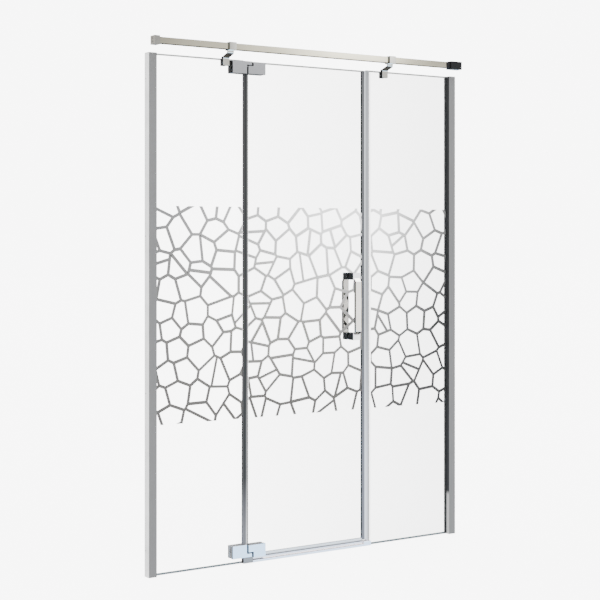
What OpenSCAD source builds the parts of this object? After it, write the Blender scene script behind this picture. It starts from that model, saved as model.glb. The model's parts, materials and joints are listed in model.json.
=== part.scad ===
// Hinged shower door for a niche: a pivoting glass door between two fixed panes.
// Frame: X along the glass from the left wall, Y into the shower, Z up from the tray.
// The glass stands in the plane Y = 0, and the origin is on the left wall at tray level.

/* [Niche] */
// Distance between the two walls
opening_w = 1500; // [1400:10:1700]
// Height of the fixed panes and of the wall profiles
panel_h = 2000; // [1900:10:2200]
// Thickness of the glass
glass_t = 8; // [6:1:10]
// From the left wall to the free edge of the left pane
left_pane_reach = 432; // [380:1:520]
// Width of the door glass
door_glass_w = 570; // [520:1:640]
// Gap between the left pane and the door glass
hinge_gap = 22; // [20:1:26]
// Gap between the door glass and the right pane
closing_gap = 22; // [20:1:28]
// Gap between a wall and the edge of its pane
glass_wall_gap = 12; // [8:1:18]
// How far the door glass ends below the panes' top
door_drop = 3; // [2:1:8]
// Height of the door glass above the tray
door_lift = 25; // [25:1:32]

/* [Wall profiles] */
// Width of the face that the profile shows
profile_w = 34; // [30:1:44]
// Reach of the profile in front of the glass plane
profile_front = 26; // [22:1:30]
// Reach of the profile behind the glass plane
profile_back = 10; // [9:0.5:26]
// Wall of the hollow profile
profile_wall = 2; // [1.5:0.1:3]
// Web that lies on the wall
profile_web = 3; // [2:0.5:4]
// Thickness of the glazing strip on each side of the glass
glazing_t = 3; // [2:0.5:4]
// Lip of the glazing strip over the mouth of the profile
glazing_lip = 1.5; // [1:0.5:3]
// Thickness of the profile's top cap
cap_t = 2; // [1.5:0.5:4]
// How deep the cap's leg reaches into the profile
cap_leg = 10; // [6:1:20]
// Diameter of the wall screw holes
wall_hole_d = 5; // [4:0.5:6]
// Lowest and highest wall hole, from the ends of the profile
wall_hole_end = 100; // [80:10:200]
// Spacing of the two wall holes between them
wall_hole_mid_span = 600; // [400:50:900]

/* [Hinges] */
// Height of a hinge
hinge_h = 50; // [44:1:64]
// From the panes' top down to the top hinge
hinge_drop = 4; // [3:1:12]
// From the tray up to the bottom hinge
hinge_floor = 24; // [24:1:40]
// Thickness of the outer plates, which hold the pivot
outer_plate_t = 14; // [13:0.5:16]
// Thickness of the inner plates
inner_plate_t = 14; // [10:0.5:16]
// Thickness of the gaskets between plates and glass
gasket_t = 2; // [1.5:0.5:3]
// Distance from the left pane's edge to the pivot axis
pivot_inset = 25; // [24:1:28]
// Distance of the pivot axis in front of the glass face
pivot_front = 9; // [8.8:0.1:9.6]
// Width of the fixed leaf on the left pane
fixed_leaf_w = 65; // [60:1:80]
// Width of the moving leaf on the door
moving_leaf_w = 79; // [74:1:98]
// Gap between the two leaves
leaf_gap = 8; // [5:0.5:8]
// Gap between the lip's round end and the moving leaf's lower part
step_gap = 5; // [4:0.5:7]
// Height of the lip that carries the pivot
lip_h = 14; // [12:1:18]
// Gap between the lip and the moving leaf, filled by the bush
lip_gap = 5; // [4:0.5:7]
// How much lower the moving leaves sit than the fixed ones
leaf_drop = 3.5; // [2:0.5:4]
// Height of the inner moving leaf above the fixed leaf's end at the bottom hinge
leaf_short = 3; // [1:0.5:5]
// Diameter of the pivot pin
pin_d = 7; // [6:0.5:8]
// Outer diameter of the pivot bush
bush_d = 11; // [10:0.5:12]
// Diameter of the bush's collar
bush_collar_d = 14; // [12:0.5:15]
// Length of the bush and of the pin inside the moving leaf
bush_len = 18; // [12:1:20]
// Space between the bush's collar and the fixed leaf
pivot_space = 11; // [10.5:0.5:14]
// From the pivot axis to the notched edge of the door glass
notch_reach = 15; // [14:0.5:18]
// How much lower than the hinge the notch in the glass is
notch_short = 8; // [6:1:12]
// From the notched edge to the nearer screw of the moving leaf
notch_to_screw = 20; // [16:1:24]
// From the end of a leaf or a pane to the nearer screw
edge_to_screw = 15; // [13:1:18]
// Diameter of the clamp screws
clamp_screw_d = 6; // [5:0.5:7]
// Diameter of the holes in the glass
glass_hole_d = 12; // [11:0.5:16]

/* [Pull handles] */
// From the door's closing edge to the middle of the handle
handle_inset = 62; // [50:1:90]
// Height of the handle's middle above the tray
handle_z = 1008; // [900:1:1150]
// Height of a handle over all
handle_h = 280; // [220:5:400]
// Width of a post along the glass
post_w = 36; // [28:1:40]
// Height of a post
post_h = 29; // [24:1:36]
// Length of a post from its washer to the grip
post_len = 32.5; // [30:0.5:50]
// Width of a grip along the glass
grip_w = 27; // [20:1:28]
// Thickness of a grip
grip_t = 14; // [8:0.5:16]
// Length of the slope at each end of a grip
grip_slope = 14; // [8:1:20]
// Thickness of the clear washers under the posts
washer_t = 1.5; // [1:0.5:3]
// Diameter of the studs that join the two handles
stud_d = 8; // [6:0.5:9]
// How far short of the grips the studs end
stud_short = 10; // [8:1:14]
// How far the washers stay inside the posts' ends
washer_inset = 1.5; // [1:0.5:3]

/* [Support bar] */
// Side of the square bar
bar_size = 25; // [20:1:30]
// Wall of the bar
bar_wall = 1.5; // [1:0.5:2.5]
// Clear height between the glass and the bar
bar_rise = 30; // [26:1:40]
// Distance of the bar's middle in front of the glass plane
bar_offset = 55; // [50:1:70]
// Side of the square wall sockets
socket_size = 34; // [32:1:40]
// Length of the left socket
left_socket_len = 24; // [20:1:60]
// Length of the right socket
right_socket_len = 60; // [50:1:80]
// Back wall of a socket
socket_back = 3; // [2:0.5:5]
// Room for the wall screws' heads between a socket's back and the bar
screw_head_room = 4; // [3:0.5:6]
// Spacing of the two wall holes of a socket
socket_hole_span = 12; // [10:1:14]
// Length of the adjuster that shows between bar and right socket
adjuster_show = 23; // [10:1:40]
// Length of the adjuster inside the bar
adjuster_tongue = 80; // [40:5:120]

/* [Brackets] */
// From the left pane's free edge to the middle of the left bracket
left_bracket_inset = 89; // [84:1:140]
// From the right pane's free edge to the middle of the right bracket
right_bracket_inset = 76; // [60:1:120]
// Width of a bracket's collar along the bar
collar_len = 31; // [26:1:36]
// Outer side of a bracket's collar
collar_size = 31; // [31:0.5:34]
// How much thicker the collar is in front of the bar
collar_front = 5; // [0:0.5:8]
// Width of the front jaw and of the strap above it
jaw_w = 28; // [24:1:30]
// Height of the jaws on the glass
jaw_h = 28; // [24:1:36]
// Thickness of the front jaw
front_jaw_t = 16; // [12:0.5:18]
// Width of the back jaw and of the pads
back_jaw_w = 18; // [16:1:28]
// Thickness of the back jaw
back_jaw_t = 6; // [5:0.5:12]
// Height of the front jaw's head above the glass
bridge_h = 6.5; // [5:0.5:8]
// Thickness of the strap from the clamp to the collar
strap_t = 6; // [5:0.5:7]
// Slope of the strap in degrees
strap_slope = 18; // [14:1:22]
// How far the strap's upright stands in front of the bar's middle
strap_front = 2; // [0:0.5:4]
// Inner radius of the strap's bend under the bar
inner_bend = 1; // [1:0.5:3]
// Radius of the hollow between strap and front jaw
fillet_r = 6; // [4:0.5:8]
// How far that hollow's centre lies below the bridge
fillet_drop = 1.5; // [0:0.5:3]
// Thickness of the pads between jaws and glass
pad_t = 1.5; // [1:0.5:2.5]

/* [Seals] */
// Wall of the seals that clip on the glass
seal_wall = 1.5; // [1:0.1:2]
// How far the magnetic seals reach over the glass
clip_reach = 12; // [10:1:16]
// How far the hinge gap seal reaches over the left pane
hinge_clip_reach = 5; // [4:1:10]
// Free gap between the two magnetic seals when closed
magnet_gap = 0.8; // [0.8:0.1:1.5]
// Width of the magnet strip
magnet_w = 6; // [5:0.5:7]
// Depth of the magnet strip
magnet_d = 7; // [5:0.5:8]
// Free gap between the hinge gap seal and the door glass
seal_clear = 0.6; // [0.4:0.1:1.2]
// How far the bottom seal reaches up the door glass
bottom_clip_reach = 8; // [8:1:16]
// Free gap between the end of a seal and what it meets
seal_end_gap = 1.5; // [0.5:0.5:3]
// Thickness of the lips under the door
lip_t = 1.2; // [1:0.1:1.5]
// How far the drip lip stands out in front
drip_out = 5; // [3:0.5:7]
// Free gap between the lips and the threshold
lip_clear = 1.3; // [1:0.1:3]
// Wall of a magnetic seal over its magnet
magnet_skin = 1; // [0.8:0.1:1.5]

/* [Threshold] */
// Height of the threshold strip
threshold_h = 19; // [14:1:19]
// Height of the front ledge of the threshold
ledge_h = 11; // [8:1:13]
// Reach of the threshold in front of the glass plane
threshold_front = 18; // [14:1:22]
// Reach of the threshold behind the glass plane
threshold_back = 12; // [10:1:16]
// Length of the left block, under the pivot
left_block_len = 44; // [42:1:50]
// Height of the left block
left_block_h = 23.5; // [20:0.5:23.5]
// Length of the right block, under the magnetic seals
right_block_len = 36; // [32:1:40]
// Height of the right block
right_block_h = 20; // [18:0.5:22]
// How far the left block covers the edge of the left pane in front
left_block_cover = 7; // [2:1:10]
// How far the right block covers the edge of the right pane in front
right_block_cover = 4; // [2:1:10]
// How far the threshold's flat top reaches in front of the glass
threshold_top = 4; // [2:1:8]
// Rise of the step behind the ledge, and fall of the ledge to its front
ledge_step = 1; // [0.5:0.5:2]

/* [Hidden] */
$fn = 48;

// Small clearances: between parts that slide together, and between parts that only meet
slide_fit = 0.15;
thread_fit = 0.05;
face_clear = 0.3;
screw_play = 0.2;
nose_clear = 0.5;
end_play = 0.5;
tip_room = 1;
hex_depth = 2;
cut = 1;
right_angle = 90;

// Glass planes
glass_half = glass_t / 2;

// Places along the wall-to-wall line
left_glass_x0 = glass_wall_gap;
left_glass_x1 = left_pane_reach;
door_x0 = left_glass_x1 + hinge_gap;
door_x1 = door_x0 + door_glass_w;
right_glass_x0 = door_x1 + closing_gap;
right_glass_x1 = opening_w - glass_wall_gap;
meet_x = (door_x1 + right_glass_x0) / 2;

// Heights of the door glass
door_z0 = door_lift;
door_z1 = panel_h - door_drop;

// Hinge frame: z runs from the pivot's end of a hinge towards the middle of the door
pivot_x = left_glass_x1 + pivot_inset;
pivot_y = -(glass_half + pivot_front);
pin_r = pin_d / 2;
bush_r = bush_d / 2;
nose_r = pivot_front - nose_clear;
fixed_leaf_x1 = pivot_x - bush_collar_d / 2 - pivot_space;
fixed_leaf_x0 = fixed_leaf_x1 - fixed_leaf_w;
moving_leaf_x0 = fixed_leaf_x1 + leaf_gap;
moving_leaf_x1 = moving_leaf_x0 + moving_leaf_w;
moving_step_x = pivot_x + nose_r + step_gap;
leaf_z0 = lip_h + lip_gap;
notch_x = pivot_x + notch_reach;
notch_h = hinge_h - notch_short;
plate_back_y = glass_half + gasket_t;
outer_face_y = plate_back_y + outer_plate_t;
inner_face_y = plate_back_y + inner_plate_t;
lip_floor = 2;
clamp_z = hinge_h / 2;
clamp_r = clamp_screw_d / 2;
fixed_clamps_x = [fixed_leaf_x0 + edge_to_screw, left_glass_x1 - edge_to_screw];
moving_clamps_x = [notch_x + notch_to_screw, moving_leaf_x1 - edge_to_screw];
screw_head_h = clamp_r;
sunk = 0.2;
outer_skin = 4;

// Bar and brackets
bar_y = -bar_offset;
bar_z = panel_h + bar_rise + bar_size / 2;
bar_hole = bar_size + 2 * slide_fit;
bar_x0 = socket_back + screw_head_room;
socket_mouth_x = opening_w - right_socket_len;
bar_x1 = socket_mouth_x - adjuster_show;
adjuster_x1 = opening_w - socket_back - screw_head_room;
grub_r = 2.5;
left_bracket_x = left_glass_x1 - left_bracket_inset;
right_bracket_x = right_glass_x0 + right_bracket_inset;
jaw_z0 = panel_h - jaw_h;
bridge_z0 = panel_h + face_clear;
jaw_back_y = glass_half + pad_t;
front_jaw_y = -(jaw_back_y + front_jaw_t);
back_jaw_y = jaw_back_y + back_jaw_t;
jaw_screw_z = panel_h - jaw_h / 2;

// Handles
handle_x = door_x1 - handle_inset;
post_z = (handle_h - post_h) / 2;
post_y0 = glass_half + washer_t;
post_y1 = post_y0 + post_len;
stud_r = stud_d / 2;
stud_reach = post_y1 - stud_short;
washer_r = post_h / 2 - washer_inset;

// Seals
seal_half = glass_half + seal_wall;
door_seal_x0 = door_x1 - clip_reach;
seal_z0 = hinge_floor + hinge_h + seal_end_gap;
seal_z1 = panel_h - hinge_drop - hinge_h - seal_end_gap;

// Threshold
left_block_x0 = left_glass_x1 - left_block_cover;
left_block_x1 = left_block_x0 + left_block_len;
right_block_x1 = right_glass_x0 + right_block_cover;
right_block_x0 = right_block_x1 - right_block_len;

// Colours
grey_aluminium = [0.60, 0.60, 0.60];
steel = [0.78, 0.79, 0.80];
bright_steel = [0.84, 0.83, 0.79];
clear_glass = [0.86, 0.92, 0.92, 0.35];
clear_pvc = [0.80, 0.84, 0.88, 0.6];
dark_pvc = [0.32, 0.33, 0.36];
black = [0.10, 0.10, 0.10];
cool_grey = [0.70, 0.72, 0.77];

// A box from its lowest to its highest corner
module block(low, high) {
  translate(low) cube(high - low);
}

// An outline in Y and Z, drawn out along X
module along_x(x0, x1) {
  translate([x0, 0, 0]) rotate([90, 0, 90]) linear_extrude(x1 - x0) children();
}

// An outline in X and Z, drawn out along Y
module along_y(y0, y1) {
  translate([0, y1, 0]) rotate([90, 0, 0]) linear_extrude(y1 - y0) children();
}

// A round bar or bore along Y
module rod_y(x, z, r, y0, y1) {
  translate([x, y1, z]) rotate([90, 0, 0]) cylinder(r = r, h = y1 - y0);
}

// A rectangle between two corners
module area(low, high) {
  translate(low) square(high - low);
}

// A rectangle with round corners
module soft_area(low, high, r) {
  area([low[0] + r, low[1]], [high[0] - r, high[1]]);
  area([low[0], low[1] + r], [high[0], high[1] - r]);
  for (x = [low[0] + r, high[0] - r])
    for (z = [low[1] + r, high[1] - r])
      translate([x, z]) circle(r = r);
}

// Points of an arc about a centre, from one angle to another
function arc_points(centre, r, from, to, steps) =
  [for (i = [0:steps]) centre + r * [cos(from + (to - from) * i / steps),
                                     sin(from + (to - from) * i / steps)]];

// The right side of the niche is the left side turned over
module on_right() {
  translate([opening_w, 0, 0]) mirror([1, 0, 0]) children();
}

// Extruded profile on the left wall: hollow in front of the glass, a plain lip behind it
module wall_profile() {
  mouth_half = glass_half + glazing_t;
  difference() {
    linear_extrude(panel_h - cap_t) difference() {
      area([0, -profile_front], [profile_w, profile_back]);
      area([profile_web, -mouth_half], [profile_w + cut, mouth_half]);
      area([profile_web, profile_wall - profile_front],
           [profile_w - profile_wall, -mouth_half - profile_wall]);
    }
    for (z = [wall_hole_end, panel_h - wall_hole_end])
      wall_hole(z);
    for (z = [-1, 1])
      wall_hole(panel_h / 2 + z * wall_hole_mid_span / 2);
  }
}

module wall_hole(z) {
  translate([-cut, 0, z]) rotate([0, 90, 0]) cylinder(d = wall_hole_d, h = profile_web + 2 * cut);
}

// Two glazing strips that hold the pane in the profile
module glazing() {
  lip_y = glass_half + glazing_t + glazing_lip;
  linear_extrude(panel_h - cap_t) for (side = [0, 1]) mirror([0, side]) {
    area([left_glass_x0, glass_half], [profile_w, glass_half + glazing_t]);
    area([profile_w, glass_half], [profile_w + glazing_lip, lip_y]);
  }
}

// Cap on the top of the profile, cut out around the glass
module profile_cap() {
  leg_y0 = profile_wall + slide_fit - profile_front;
  leg_y1 = -glass_half - glazing_t - profile_wall - slide_fit;
  leg_x0 = profile_web + slide_fit;
  leg_x1 = profile_w - profile_wall - slide_fit;
  difference() {
    block([0, -profile_front, panel_h - cap_t], [profile_w, profile_back, panel_h]);
    block([left_glass_x0 - face_clear, -glass_half - face_clear, panel_h - cap_t - cut],
          [profile_w + cut, glass_half + face_clear, panel_h + cut]);
  }
  block([leg_x0, leg_y0, panel_h - cap_t - cap_leg], [leg_x1, leg_y1, panel_h - cap_t]);
}

// Hinge holes in a pane, at both hinges
module clamp_holes(places, drop) {
  for (x = places)
    for (z = [hinge_floor + clamp_z, panel_h - hinge_drop - clamp_z])
      rod_y(x, z - drop, glass_hole_d / 2, -glass_t, glass_t);
}

module fixed_pane(x0, x1) {
  block([x0, -glass_half, 0], [x1, glass_half, panel_h]);
}

module left_glass() {
  color(clear_glass) difference() {
    fixed_pane(left_glass_x0, left_glass_x1);
    clamp_holes(fixed_clamps_x, 0);
    rod_y(left_bracket_x, jaw_screw_z, glass_hole_d / 2, -glass_t, glass_t);
  }
}

module right_glass() {
  color(clear_glass) difference() {
    fixed_pane(right_glass_x0, right_glass_x1);
    rod_y(right_bracket_x, jaw_screw_z, glass_hole_d / 2, -glass_t, glass_t);
  }
}

// Door glass with a notch at each pivot and holes for hinges and handle
module door_glass() {
  top_notch_z = panel_h - hinge_drop - notch_h;
  color(clear_glass) difference() {
    block([door_x0, -glass_half, door_z0], [door_x1, glass_half, door_z1]);
    block([door_x0 - cut, -glass_t, door_z0 - cut], [notch_x, glass_t, hinge_floor + notch_h]);
    block([door_x0 - cut, -glass_t, top_notch_z], [notch_x, glass_t, door_z1 + cut]);
    clamp_holes(moving_clamps_x, leaf_drop);
    for (z = [handle_z - post_z, handle_z + post_z])
      rod_y(handle_x, z, glass_hole_d / 2, -glass_t, glass_t);
  }
}

// Support bar: a square tube along the top, in front of the glass
module square_tube(x0, x1, side, hole) {
  along_x(x0, x1) translate([bar_y, bar_z]) difference() {
    square(side, center = true);
    square(hole, center = true);
  }
}

module support_bar() {
  color(bright_steel) square_tube(bar_x0, bar_x1, bar_size, bar_size - 2 * bar_wall);
}

// Adjuster: takes up the last of the width between the bar and the right wall
module bar_adjuster() {
  tongue = bar_size - 2 * bar_wall - 2 * slide_fit;
  color(black) {
    along_x(bar_x1, adjuster_x1) translate([bar_y, bar_z]) square(bar_size, center = true);
    along_x(bar_x1 - adjuster_tongue, bar_x1) translate([bar_y, bar_z]) square(tongue, center = true);
  }
}

// Socket on the left wall, drawn for any length
module bar_socket(len, grub_x) {
  difference() {
    along_x(0, len) translate([bar_y, bar_z]) square(socket_size, center = true);
    along_x(socket_back, len + cut) translate([bar_y, bar_z]) square(bar_hole, center = true);
    for (side = [-1, 1])
      translate([-cut, bar_y, bar_z + side * socket_hole_span / 2])
        rotate([0, 90, 0]) cylinder(d = wall_hole_d, h = socket_back + 2 * cut);
    translate([grub_x, bar_y, bar_z - socket_size / 2 - cut])
      cylinder(r = grub_r + thread_fit, h = socket_size / 2);
  }
}

// Grub screw that stands under the bar, with a hexagon socket
module grub_under_bar(x, side) {
  translate([x, bar_y, bar_z - side / 2]) difference() {
    cylinder(r = grub_r, h = (side - bar_size) / 2);
    translate([0, 0, -cut]) cylinder(r = grub_r / 2, h = cut + hex_depth, $fn = 6);
  }
}

left_grub_x = left_socket_len / 2;
right_grub_x = opening_w - right_socket_len / 2;

module bar_set_screws() {
  color(steel) {
    grub_under_bar(left_grub_x, socket_size);
    grub_under_bar(right_grub_x, socket_size);
    for (x = [left_bracket_x, right_bracket_x])
      grub_behind_bar(x);
  }
}

module grub_behind_bar(x) {
  translate([x, bar_y + collar_size / 2, bar_z]) rotate([90, 0, 0]) difference() {
    cylinder(r = grub_r, h = (collar_size - bar_size) / 2);
    translate([0, 0, -cut]) cylinder(r = grub_r / 2, h = cut + hex_depth, $fn = 6);
  }
}

// Strap from the front jaw's head, forwards and up to the collar, as an outline in Y and Z
outer_bend_r = strap_t + inner_bend;
strap_front_y = bar_y - strap_front;
fillet_centre = [front_jaw_y - fillet_r, bridge_z0 - fillet_drop];
fillet_top = fillet_centre + fillet_r * [sin(strap_slope), cos(strap_slope)];
bend_y = strap_front_y + outer_bend_r;
bend_foot_y = bend_y - outer_bend_r * sin(strap_slope);
bend_foot_z = fillet_top[1] + (fillet_top[0] - bend_foot_y) * tan(strap_slope);
bend_centre = [bend_y, bend_foot_z + outer_bend_r * cos(strap_slope)];
collar_z0 = bar_z - collar_size / 2;

module strap_outline() {
  bridge_z1 = bridge_z0 + bridge_h;
  strap_top_z = fillet_top[1] + strap_t / cos(strap_slope);
  level_y = fillet_top[0] + (strap_top_z - bridge_z1) / tan(strap_slope);
  polygon(concat(
    [[strap_front_y, collar_z0 + cut]],
    arc_points(bend_centre, outer_bend_r, 2 * right_angle, 3 * right_angle - strap_slope, 8),
    arc_points(fillet_centre, fillet_r, right_angle - strap_slope, 0, 8),
    [[front_jaw_y, bridge_z0], [-jaw_back_y, bridge_z0], [-jaw_back_y, bridge_z1]],
    [[max(level_y, front_jaw_y), bridge_z1]],
    arc_points(bend_centre, inner_bend, 3 * right_angle - strap_slope, 2 * right_angle, 4),
    [[strap_front_y + strap_t, collar_z0 + cut]]
  ));
}

// Bracket: collar round the bar, strap and front jaw in one casting
module bracket(x) {
  jaw_x0 = x - jaw_w / 2;
  jaw_x1 = x + jaw_w / 2;
  color(steel) difference() {
    union() {
      along_x(x - collar_len / 2, x + collar_len / 2) translate([bar_y, bar_z])
        area([-collar_size / 2 - collar_front, -collar_size / 2],
             [collar_size / 2, collar_size / 2]);
      along_x(jaw_x0, jaw_x1) strap_outline();
      block([jaw_x0, front_jaw_y, jaw_z0], [jaw_x1, -jaw_back_y, bridge_z0 + bridge_h / 2]);
    }
    along_x(x - collar_len, x + collar_len) translate([bar_y, bar_z])
      square(bar_hole, center = true);
    translate([x, bar_y + collar_size, bar_z]) rotate([90, 0, 0])
      cylinder(r = grub_r + thread_fit, h = collar_size);
    rod_y(x, jaw_screw_z, clamp_r + thread_fit, front_jaw_y + outer_skin, 0);
  }
}

module bracket_jaw(x) {
  color(steel) difference() {
    block([x - back_jaw_w / 2, jaw_back_y, jaw_z0], [x + back_jaw_w / 2, back_jaw_y, panel_h]);
    rod_y(x, jaw_screw_z, clamp_r + screw_play, 0, back_jaw_y + cut);
    sink(x, jaw_screw_z, back_jaw_y);
  }
}

// Clear pads with a collar that lines the hole in the glass
module lined_pad(low, high, holes, thick) {
  difference() {
    union() {
      block([low[0], glass_half, low[1]], [high[0], glass_half + thick, high[1]]);
      for (h = holes)
        rod_y(h[0], h[1], glass_hole_d / 2 - slide_fit, face_clear, glass_half + cut);
    }
    for (h = holes)
      rod_y(h[0], h[1], clamp_r + screw_play, -cut, glass_half + thick + cut);
  }
}

module pad_pair(low, high, holes, thick) {
  color(clear_pvc) for (side = [0, 1]) mirror([0, side, 0])
    lined_pad(low, high, holes, thick);
}

module bracket_pads(x) {
  pad_pair([x - back_jaw_w / 2, jaw_z0], [x + back_jaw_w / 2, panel_h], [[x, jaw_screw_z]], pad_t);
}

// Countersink in an inner plate whose face is at y, and the screw that fits it
module sink(x, z, y) {
  translate([x, y - screw_head_h - screw_play, z]) rotate([-90, 0, 0])
    cylinder(r1 = clamp_r + screw_play, r2 = 2 * (clamp_r + screw_play),
             h = screw_head_h + screw_play + thread_fit / 5);
}

module clamp_screw(x, z, face, reach) {
  difference() {
    union() {
      rod_y(x, z, clamp_r, -reach, face - sunk - screw_head_h);
      translate([x, face - sunk - screw_head_h, z]) rotate([-90, 0, 0])
        cylinder(r1 = clamp_r, r2 = 2 * clamp_r, h = screw_head_h);
    }
    translate([x, face - sunk - hex_depth, z]) rotate([-90, 0, 0])
      cylinder(r = clamp_r * 0.75, h = hex_depth + cut, $fn = 6);
  }
}

module bracket_screws() {
  color(steel) for (x = [left_bracket_x, right_bracket_x])
    clamp_screw(x, jaw_screw_z, back_jaw_y, -front_jaw_y - outer_skin - tip_room);
}

// Places its children at a hinge: the bottom one as drawn, the top one turned over
module at_bottom_hinge() {
  translate([0, 0, hinge_floor]) children();
}

module at_top_hinge() {
  translate([0, 0, panel_h - hinge_drop]) mirror([0, 0, 1]) children();
}

module plate_holes(places, y0, y1, r) {
  for (x = places) rod_y(x, clamp_z, r, y0, y1);
}

// Fixed outer plate, with the lip that holds the pin
module fixed_outer() {
  difference() {
    union() {
      along_y(-outer_face_y, -plate_back_y) {
        area([fixed_leaf_x0, 0], [fixed_leaf_x1, hinge_h]);
        area([fixed_leaf_x1 - cut, 0], [pivot_x, lip_h]);
      }
      intersection() {
        translate([pivot_x, pivot_y, 0]) cylinder(r = nose_r, h = lip_h);
        block([pivot_x, -outer_face_y, 0], [pivot_x + nose_r + cut, -plate_back_y, lip_h]);
      }
      block([left_glass_x1 + face_clear, -plate_back_y - cut, 0],
            [fixed_leaf_x1, plate_back_y, hinge_h]);
    }
    translate([pivot_x, pivot_y, lip_floor]) cylinder(r = pin_r + thread_fit, h = lip_h);
    plate_holes(fixed_clamps_x, -outer_face_y + outer_skin, 0, clamp_r + thread_fit);
  }
}

module fixed_inner() {
  difference() {
    along_y(plate_back_y, inner_face_y) area([fixed_leaf_x0, 0], [fixed_leaf_x1, hinge_h]);
    plate_holes(fixed_clamps_x, 0, inner_face_y + cut, clamp_r + screw_play);
    for (x = fixed_clamps_x) sink(x, clamp_z, inner_face_y);
  }
}

// Moving outer plate, with the bush's seat and a boss that fills the notch in the glass.
// shift is how far the leaf stands from the pivot's end: down at the bottom hinge, up at the top one
module moving_outer(shift) {
  difference() {
    union() {
      along_y(-outer_face_y, -plate_back_y) {
        area([moving_leaf_x0, leaf_z0], [moving_leaf_x1, moving_end(shift)]);
        area([moving_step_x, shift], [moving_leaf_x1, moving_end(shift)]);
      }
      block([pivot_x, -plate_back_y - cut, leaf_z0],
            [notch_x - face_clear, plate_back_y, notch_h - face_clear]);
    }
    translate([pivot_x, pivot_y, leaf_z0 - cut]) cylinder(r = bush_r + thread_fit, h = cut + bush_len);
    moving_holes(shift, -outer_face_y + outer_skin, 0, clamp_r + thread_fit);
  }
}

module moving_inner(shift) {
  difference() {
    along_y(plate_back_y, inner_face_y)
      area([moving_leaf_x0, max(leaf_short, shift)], [moving_leaf_x1, moving_end(shift)]);
    moving_holes(shift, 0, inner_face_y + cut, clamp_r + screw_play);
    for (x = moving_clamps_x) sink(x, clamp_z + shift, inner_face_y);
  }
}

module moving_holes(shift, y0, y1, r) {
  translate([0, 0, shift]) plate_holes(moving_clamps_x, y0, y1, r);
}

// End of a moving leaf: level with the fixed leaf at the top hinge, below it at the bottom one
function moving_end(shift) = hinge_h + min(shift, 0);

module hinge_gaskets(x0, x1, z0, places, shift) {
  pad_pair([x0, z0], [x1, moving_end(shift)], [for (x = places) [x, clamp_z + shift]], gasket_t);
}

module fixed_gaskets() {
  hinge_gaskets(fixed_leaf_x0, left_glass_x1, 0, fixed_clamps_x, 0);
}

module moving_gaskets(shift) {
  hinge_gaskets(notch_x, moving_leaf_x1, max(leaf_short, shift), moving_clamps_x, shift);
}

module hinge_pin() {
  color(steel) translate([pivot_x, pivot_y, lip_floor])
    cylinder(r = pin_r, h = leaf_z0 + bush_len - 2 * end_play - lip_floor);
}

// Bush with a collar that carries the leaf on the lip
module hinge_bush() {
  color(black) translate([pivot_x, pivot_y, 0]) difference() {
    union() {
      translate([0, 0, leaf_z0]) cylinder(r = bush_r, h = bush_len);
      translate([0, 0, lip_h + face_clear]) cylinder(d = bush_collar_d, h = lip_gap - face_clear);
    }
    cylinder(r = pin_r + thread_fit, h = leaf_z0 + bush_len - end_play);
  }
}

module hinge_screws(places, drop) {
  color(steel) translate([0, 0, -drop]) {
    at_bottom_hinge() for (x = places)
      clamp_screw(x, clamp_z, inner_face_y, outer_face_y - outer_skin - tip_room);
    at_top_hinge() for (x = places)
      clamp_screw(x, clamp_z, inner_face_y, outer_face_y - outer_skin - tip_room);
  }
}

// Outside half of the pull handle, and its inside twin by mirror
module inside() {
  mirror([0, 1, 0]) children();
}

module grip() {
  half = handle_h / 2 - post_h;
  front = post_y1 + grip_t;
  color(bright_steel) translate([handle_x - grip_w / 2, 0, handle_z])
    along_x(0, grip_w) polygon([
      [-post_y1, -half - 0.5 * grip_slope], [-front, -half + 0.5 * grip_slope],
      [-front, half - 0.5 * grip_slope], [-post_y1, half + 0.5 * grip_slope]
    ]);
}

module post(z) {
  color(steel) difference() {
    block([handle_x - post_w / 2, -post_y1, z - post_h / 2],
          [handle_x + post_w / 2, -post_y0, z + post_h / 2]);
    rod_y(handle_x, z, stud_r + thread_fit, -stud_reach - tip_room, 0);
    translate([handle_x, -(post_y0 + post_y1) / 2, z - post_h / 2 - cut])
      cylinder(r = grub_r + thread_fit, h = post_h / 2);
  }
}

module handle_grub_screws() {
  grub_len = post_h / 2 - stud_r - tip_room;
  color(steel) for (side = [0, 1]) mirror([0, side, 0])
    for (z = [handle_z - post_z, handle_z + post_z])
      translate([handle_x, -(post_y0 + post_y1) / 2, z - stud_r - screw_play - grub_len]) difference() {
        cylinder(r = grub_r, h = grub_len);
        translate([0, 0, -cut]) cylinder(r = grub_r / 2, h = cut + hex_depth, $fn = 6);
      }
}

module handle_studs() {
  color(steel) for (z = [handle_z - post_z, handle_z + post_z])
    rod_y(handle_x, z, stud_r, -stud_reach, stud_reach);
}

module handle_washers() {
  color(clear_pvc) for (side = [0, 1]) mirror([0, side, 0])
    for (z = [handle_z - post_z, handle_z + post_z]) difference() {
      union() {
        rod_y(handle_x, z, washer_r, glass_half, post_y0);
        rod_y(handle_x, z, glass_hole_d / 2 - slide_fit, face_clear, glass_half + cut);
      }
      rod_y(handle_x, z, stud_r + slide_fit, -cut, post_y0 + cut);
    }
}

// Seal in the hinge gap: a clip on the left pane and a round hollow bulb
module hinge_gap_seal() {
  bulb_x = door_x0 - seal_clear - seal_half;
  color(dark_pvc) translate([0, 0, seal_z0]) linear_extrude(seal_z1 - seal_z0) difference() {
    union() {
      area([left_glass_x1 - hinge_clip_reach, -seal_half], [bulb_x, seal_half]);
      translate([bulb_x, 0]) circle(r = seal_half);
    }
    area([left_glass_x1 - hinge_clip_reach - cut, -glass_half], [left_glass_x1, glass_half]);
    area([left_glass_x1 + seal_wall, -glass_half], [bulb_x, glass_half]);
    translate([bulb_x, 0]) circle(r = glass_half);
  }
}

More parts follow.
